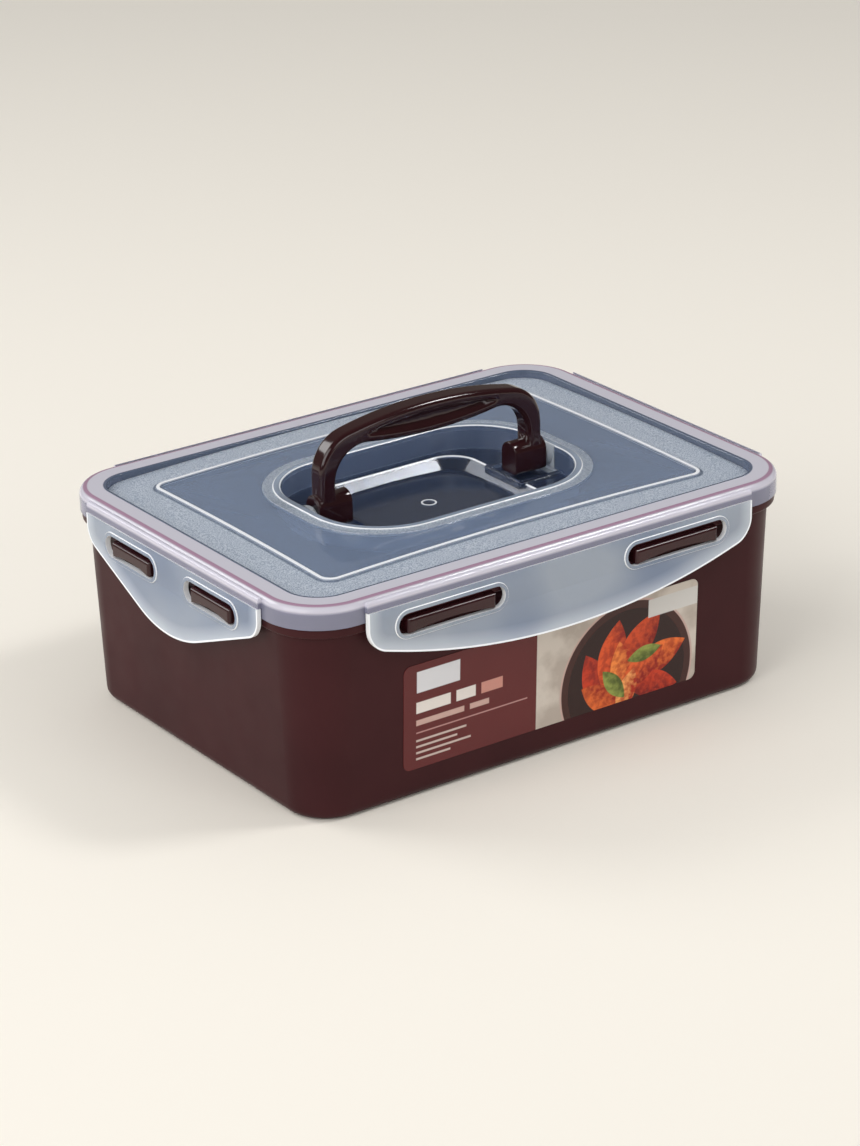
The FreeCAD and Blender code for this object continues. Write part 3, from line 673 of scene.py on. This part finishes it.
makeTubShell()
lugMesh = solidCopy("tubLugs", "tub", lugFaces)
lugs = addPiece("tubLugs", lugMesh, "container", lugPlastic, ["tub"])
weigh(bevel(lugs, finishSettings["bevel"]["lug"]))
print("tub ready")


# Lid: rim, domed panel and the well's walls as one ring surface; the rest is taken from the solid

lidRings = {
    # offsets of the rings on the panel, from the well's outline and from the line's
    "underWell": (6.0, 12.0, 18.0), "underLine": (0.0, 8.0), "overLine": (10.0, 5.0), "insideLine": -4.4,
    "overWell": (14.0, 10.0),
    # the line's section, from its half width: foot, bend and flat top; and the bend's share of its height
    "lineFoot": 0.25, "lineBend": 0.15, "lineFlat": 0.6, "bendShare": 0.6,
    "collarFoot": 0.2, "collarRadius": 0.3, "wellMiddle": 81.0,
}


def makeLidSheet():
    # Rings that run from the foot of the well's outer wall, along the panel's underside, round the rim, back
    # over the panel, line, collar and lip and down the well's inner wall. Panel rings take their height from
    # the dome.
    s, rings = lidSize, lidRings
    rows = []  # outline, height, whether the height is counted from the dome

    def add(outline, offset, height, onDome=False):
        rows.append((*grown(outline, offset), height, onDome))

    def addAll(outline, profile, onDome=False):
        for offset, height in profile:
            add(outline, offset, height, onDome)

    well, line, lid = s["well"], s["line"], lidOutline(0.0)
    add(well, s["wellWall"], s["ledge"] - s["floor"] + s["footRadius"])
    add(well, s["wellWall"], -s["sheet"], True)
    addAll(well, [(offset, -s["sheet"]) for offset in rings["underWell"]], True)
    addAll(line, [(offset, -s["sheet"]) for offset in rings["underLine"]], True)
    add(lid, -s["rimWidth"], -s["sheet"], True)
    add(lid, -s["rimWidth"], s["plugBottom"])
    add(lid, s["plug"] - s["rimWidth"], s["plugBottom"])
    add(lid, s["plug"] - s["rimWidth"], s["rimTop"] - s["roof"])
    add(lid, -s["skirt"], s["rimTop"] - s["roof"])
    add(lid, -s["skirt"], s["skirtBottom"])
    add(lid, 0.0, s["skirtBottom"])
    add(lid, 0.0, s["rimTop"] - s["rimRadius"])
    addAll(lid, quarter(0.0, s["rimTop"] - s["rimRadius"], -s["rimRadius"], s["rimTop"], False, steps=8))
    inner = s["stepRadius"] - s["rimWidth"]
    add(lid, inner, s["rimTop"])
    addAll(lid, quarter(inner, s["rimTop"], -s["rimWidth"], s["rimTop"] - s["stepRadius"], True))
    add(lid, -s["rimWidth"], 0.0, True)
    foot, bend = s["lineHalf"] + rings["lineFoot"], s["lineHalf"] - rings["lineBend"]
    flat, rise, mid = s["lineHalf"] - rings["lineFlat"], s["lineRise"], s["lineRise"] * rings["bendShare"]
    addAll(line, [(offset, 0.0) for offset in rings["overLine"] + (foot,)], True)
    addAll(line, quarter(foot, 0.0, bend, mid, True, steps=3), True)
    addAll(line, quarter(bend, mid, flat, rise, False, steps=3), True)
    addAll(line, quarter(-flat, rise, -bend, mid, True, steps=3), True)
    addAll(line, quarter(-bend, mid, -foot, 0.0, False, steps=3), True)
    add(line, rings["insideLine"], 0.0, True)
    addAll(well, [(offset, 0.0) for offset in rings["overWell"] + (s["collar"] + rings["collarFoot"],)], True)
    edge, collarTop, wellTop = rings["collarRadius"], s["collarTop"], s["wellTop"]
    addAll(well, quarter(s["collar"], collarTop - edge, s["collar"] - edge, collarTop, False, steps=3))
    add(well, s["lip"], collarTop)
    addAll(well, quarter(s["lip"], collarTop, s["lip"] - s["lipRadius"], wellTop, False, steps=4))
    add(well, s["mouthRadius"], wellTop)
    addAll(well, quarter(s["mouthRadius"], wellTop, 0.0, wellTop - s["mouthRadius"], True, steps=6))
    addAll(well, [(0.0, rings["wellMiddle"]), (0.0, s["ledge"])])
    a, b, r, height, onDome = (np.array(column, float) for column in zip(*rows))
    walk = ringPoints(a, b, r, arcSteps=18, sideSteps=12)
    dome = domeHeight(walk[..., 0], walk[..., 1], s["domeTop"], s["domeRadius"])
    z = height[:, None] + onDome[:, None] * dome
    return ringMesh("lidSheet", np.concatenate([walk, z[..., None]], -1))


trimSettings = {
    # slack round the outline, round the well's wall and in the upright faces' normals
    "past": 0.02, "beside": 0.03, "onWall": 0.05, "level": 0.02,
    # how far the ledge goes out past the well's wall, how high the foot and all of it reach
    "reach": 3.5, "footRise": 3.0, "highest": 86.0,
    # the crowned floor: slack in its radius, least share of the normal along it, lowest height
    "onBall": 0.06, "alongBall": 0.995, "lowest": 68.0,
}


def lidTrimFaces(centres, normals):
    # Rails outside the skirt, and what lies in the well below its rounded mouth: ledge, pads, pins and foot
    s, t = lidSize, trimSettings
    halfLength, halfWidth, corner = s["well"]
    x, y, z = np.abs(centres[:, 0]), np.abs(centres[:, 1]), centres[:, 2]
    past = np.stack([x - (halfLength - corner), y - (halfWidth - corner)], -1)
    out = np.linalg.norm(np.maximum(past, 0.0), axis=1) + np.minimum(past.max(axis=1), 0.0) - corner
    rails = (x > s["halfLength"] + t["past"]) | (y > s["halfWidth"] + t["past"])
    wall = (np.abs(normals[:, 2]) < t["level"]) & (np.abs(out - s["wellWall"]) < t["onWall"])
    ledge = (out < s["wellWall"] + t["reach"]) & (z < s["ledge"] + t["past"]) & ~wall
    inside = out < -t["beside"]
    within = inside | (ledge & (np.abs(out) > t["beside"]))
    low = (z < t["highest"]) & ((z < s["ledge"] + t["footRise"]) | inside)
    return rails | (within & low & ~pocketBallFaces(centres, normals))


def pocketBallFaces(centres, normals):
    # Faces of the crowned pocket floor and of its underside
    s, t = lidSize, trimSettings
    arm = centres - np.array([0.0, 0.0, s["pocketTop"] - s["pocketRadius"]])
    far = np.linalg.norm(arm, axis=1)
    turned = np.abs((arm / far[:, None] * normals).sum(axis=1)) > t["alongBall"]
    upper, lower = far - s["pocketRadius"], far - s["pocketRadius"] + s["floor"]
    onBall = (np.abs(upper) < t["onBall"]) | (np.abs(lower) < t["onBall"])
    return onBall & turned & (centres[:, 2] > t["lowest"])


def makePocketFloor():
    # The crowned floor keeps the solid's faces, shaded by the ball they lie on
    s = lidSize
    mesh = solidCopy("pocketFloor", "lid", pocketBallFaces, flatten=0.0)
    addPiece("pocketFloor", mesh, "container", lidPlastic, ["lid"], smoothAngle=60.0)
    corners = np.empty(len(mesh.loops), np.int32)
    mesh.loops.foreach_get("vertex_index", corners)
    places = np.empty(len(mesh.vertices) * 3)
    mesh.vertices.foreach_get("co", places)
    faceOf = np.repeat(np.arange(len(mesh.polygons)), 3)
    faceNormals = np.empty(len(mesh.polygons) * 3)
    mesh.polygons.foreach_get("normal", faceNormals)
    arm = places.reshape(-1, 3)[corners] / mm - np.array([0.0, 0.0, s["pocketTop"] - s["pocketRadius"]])
    arm /= np.linalg.norm(arm, axis=1)[:, None]
    side = np.sign((arm * faceNormals.reshape(-1, 3)[faceOf]).sum(axis=1))
    mesh.normals_split_custom_set((arm * side[:, None]).tolist())


weigh(addPiece("lidSheet", makeLidSheet(), "container", lidPlastic, ["lid"]))
trimMesh = solidCopy("lidTrim", "lid", lidTrimFaces)
trim = addPiece("lidTrim", trimMesh, "container", lidPlastic, ["lid"])
# The trim's bevels take the near-white plastic: painted highlights on its edges
trim.data.materials.append(paintedHighlightPlastic)
bevel(trim, finishSettings["bevel"]["trim"]).modifiers["rounded"].material = 1
weigh(trim)
makePocketFloor()
print("lid ready")


# Other pieces

sealMesh = solidCopy("sealRing", "gasket")
weigh(addPiece("sealRing", sealMesh, "container", sealRubber, ["gasket"]))
handleMesh = solidCopy("carryHandle", "handle", flatten=0.0)
weigh(addPiece("carryHandle", handleMesh, "handle", handlePlastic, ["handle"]))
for side in ("front", "back", "left", "right"):
    long = side in ("front", "back")
    node = side + "_wing"
    wingPlastic = longWingPlastic if long else shortWingPlastic
    wing = addPiece(side + "Wing", solidCopy(side + "Wing", node), node, wingPlastic, [node])
    paintedHighlightEdges(wing, Vector((0, 1, 0)) if long else Vector((1, 0, 0)), finishSettings["bevel"]["wing"])
print("seal, handle and wings ready")


# Label: a printed film. All in millimetres on the front wall, x and z

labelSettings = {
    "ground": "#5a1f20", "shade": "#652627", "edge": 0.12, "roughness": 0.25, "shine": 0.35,
    "stone": "#cdc3b8", "vein": "#b3a79c",
    # grains in metres with their detail, then their limits
    "cloud": 0.03, "veinGrain": (0.016, 5.0), "veins": (0.42, 0.58),
    "fibreGrain": (0.0022, 4.0), "fibres": (0.4, 0.62, -0.3, 0.3), "speck": (0.0004, 0.000004),
    # from x, to x, from z, to z, colour
    "picture": (-8.7, 65.9, 11.2, 52.8),
    "bars": [
        (-61.8, -43.0, 41.3, 49.6, "#dcdce0"), (-62.0, -12.8, 25.3, 25.8, "#b98a86"),
        (-62.0, -40.0, 22.0, 22.8, "#c9b6ae"), (-62.0, -44.0, 19.6, 20.4, "#c9b6ae"),
        (-62.0, -38.0, 17.2, 18.0, "#c9b6ae"), (-62.0, -47.0, 14.8, 15.6, "#c9b6ae"),
        (-62.0, -47.0, 33.2, 37.6, "#e4dcd6"), (-44.5, -36.0, 33.2, 37.6, "#e4dcd6"),
        (-33.5, -24.0, 33.2, 37.6, "#c98d80"), (-62.0, -41.0, 28.4, 30.6, "#c7a49a"),
        (-38.5, -30.0, 28.4, 30.6, "#c7a49a"),
    ],
    "slip": (42.5, 65.9, 42.3, 49.5, "#d0cdc9"),
    # middle x, middle z, radius, colour of the bowl's discs from the largest in
    "bowl": [(33.0, 21.0, 31.0, "#c3a59c"), (33.0, 21.0, 30.2, "#41231f"), (33.0, 21.0, 27.2, "#2b1412")],
    # leaf: middle x, middle z, turn in degrees, half length, half width, two colours
    "leaves": [
        (19.0, 22.0, 112, 14.0, 6.0, "#7c160c", "#c5391a"), (26.0, 31.0, 78, 14.5, 6.5, "#8c1c0e", "#dd5524"),
        (38.0, 33.0, 48, 15.0, 6.5, "#7f190d", "#cf4a1f"), (47.0, 25.0, 18, 14.0, 6.0, "#94220f", "#e8722f"),
        (22.0, 15.0, 146, 12.0, 5.2, "#94220f", "#e06a2c"),
        (45.0, 15.0, -14, 12.5, 5.4, "#7c160c", "#c5391a"),
        (31.0, 24.0, 98, 12.5, 5.6, "#a62a12", "#f08a3e"), (39.5, 22.5, 34, 12.5, 5.4, "#8c1c0e", "#e2602a"),
        (33.0, 15.0, 68, 9.5, 4.4, "#a62a12", "#f4a45c"), (27.0, 19.5, 128, 8.5, 3.4, "#4e5a22", "#8f9a48"),
        (41.0, 28.5, 8, 8.0, 3.0, "#4e5a22", "#8f9a48"),
    ],
}


def barShare(tree, x, z, bounds):
    edge = labelSettings["edge"] * mm
    left, right, low, high = (value * mm for value in bounds)
    inX = maths(tree, "MULTIPLY", band(tree, x, left - edge, left + edge),
                band(tree, x, right + edge, right - edge))
    inZ = maths(tree, "MULTIPLY", band(tree, z, low - edge, low + edge),
                band(tree, z, high + edge, high - edge))
    return maths(tree, "MULTIPLY", inX, inZ)


def discShare(tree, place, x, z, radius):
    # One inside the circle: the level distance from its middle is under the radius
    arm = addNode(tree, "VectorMath", {0: place, 1: (x * mm, 0.0, z * mm)}, operation="SUBTRACT").outputs[0]
    flat = addNode(tree, "VectorMath", {0: arm, 1: (1.0, 0.0, 1.0)}, operation="MULTIPLY").outputs[0]
    reach = addNode(tree, "VectorMath", {0: flat}, operation="LENGTH").outputs["Value"]
    edge = labelSettings["edge"] * mm
    return band(tree, reach, radius * mm + edge, radius * mm - edge)


def leafShares(tree, place, x, z, turn, halfLength, halfWidth):
    # One inside the leaf, where |v| < halfWidth (1 - (u / halfLength)^2), u and v running along and across it
    # from its middle; and v from one margin to the other
    def along(first, second):
        whole = addNode(tree, "VectorMath", {0: place, 1: (first, 0.0, second)}, operation="DOT_PRODUCT")
        return maths(tree, "SUBTRACT", whole.outputs["Value"], (first * x + second * z) * mm)

    angle = math.radians(turn)
    u, v = along(math.cos(angle), math.sin(angle)), along(-math.sin(angle), math.cos(angle))
    taper = maths(tree, "MULTIPLY", maths(tree, "MULTIPLY", u, u), halfWidth / (halfLength ** 2 * mm))
    reach = maths(tree, "SUBTRACT", halfWidth * mm, taper)
    spare = maths(tree, "SUBTRACT", reach, maths(tree, "ABSOLUTE", v))
    edge = labelSettings["edge"] * mm
    return band(tree, spare, -edge, edge), band(tree, v, -halfWidth * mm, halfWidth * mm)


def labelMaterial():
    # Plain bars on wine red, and a bowl of leaves on stone, inked field over field
    s = labelSettings
    material, tree, shader, place = newMaterial("labelPrint", Roughness=s["roughness"],
                                                Specular_IOR_Level=s["shine"])
    split = addNode(tree, "SeparateXYZ", {0: place})
    x, z = split.outputs[0], split.outputs[2]
    colour = mixColour(tree, grain(tree, place, s["cloud"]), linear(s["ground"]), linear(s["shade"]))
    for *bounds, tint in s["bars"]:
        colour = mixColour(tree, barShare(tree, x, z, bounds), colour, linear(tint))
    veins = band(tree, grain(tree, place, *s["veinGrain"]), *s["veins"])
    picture = mixColour(tree, veins, linear(s["stone"]), linear(s["vein"]))
    for *disc, tint in s["bowl"]:
        picture = mixColour(tree, discShare(tree, place, *disc), picture, linear(tint))
    fibres = band(tree, grain(tree, place, *s["fibreGrain"]), *s["fibres"])
    for *leaf, low, high in s["leaves"]:
        inside, across = leafShares(tree, place, *leaf)
        tone = addNode(tree, "Math", {0: across, 1: fibres}, operation="ADD", use_clamp=True).outputs[0]
        picture = mixColour(tree, inside, picture, mixColour(tree, tone, linear(low), linear(high)))
    colour = mixColour(tree, barShare(tree, x, z, s["picture"]), colour, picture)
    *bounds, tint = s["slip"]
    colour = mixColour(tree, barShare(tree, x, z, bounds), colour, linear(tint))
    tree.links.new(colour, shader.inputs["Base Color"])
    size, depth = s["speck"]
    tree.links.new(bumpFrom(tree, grain(tree, place, size), depth), shader.inputs["Normal"])
    return material


labelMesh = solidCopy("labelFilm", "front_label")
addPiece("labelFilm", labelMesh, "container", labelMaterial(), ["front_label"])
print("label ready")
